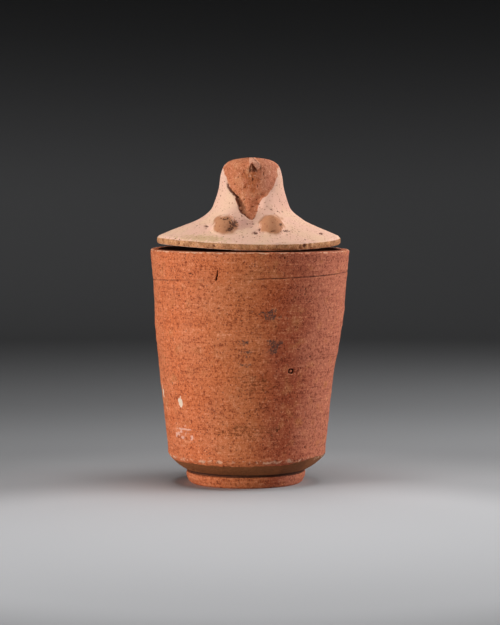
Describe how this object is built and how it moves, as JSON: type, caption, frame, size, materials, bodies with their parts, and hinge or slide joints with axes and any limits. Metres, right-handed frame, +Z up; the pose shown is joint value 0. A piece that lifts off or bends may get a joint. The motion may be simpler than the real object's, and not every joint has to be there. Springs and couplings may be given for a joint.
{
  "type": "canopic jar",
  "caption": "Tapering terracotta burial jar with a low foot ring, closed by a loose conical lid with a falcon's head that looks up over two wig lappets.",
  "frame": {"origin": "middle of the whole object's box in plan, which is the middle of the jar's mouth, on the plane that the foot ring stands on", "axes": "+Z up, -Y towards the viewer in front of the falcon's face, +X to that viewer's right"},
  "size_m": [0.1848, 0.1848, 0.3009],
  "materials": {
    "jar_clay": "matt unglazed terracotta, sandy and worn",
    "lid_clay": "matt unglazed terracotta with a worn pale pink slip"
  },
  "bodies": {
    "root": {"jar": "jar_clay", "lid": "lid_clay"}
  },
  "joints": []
}
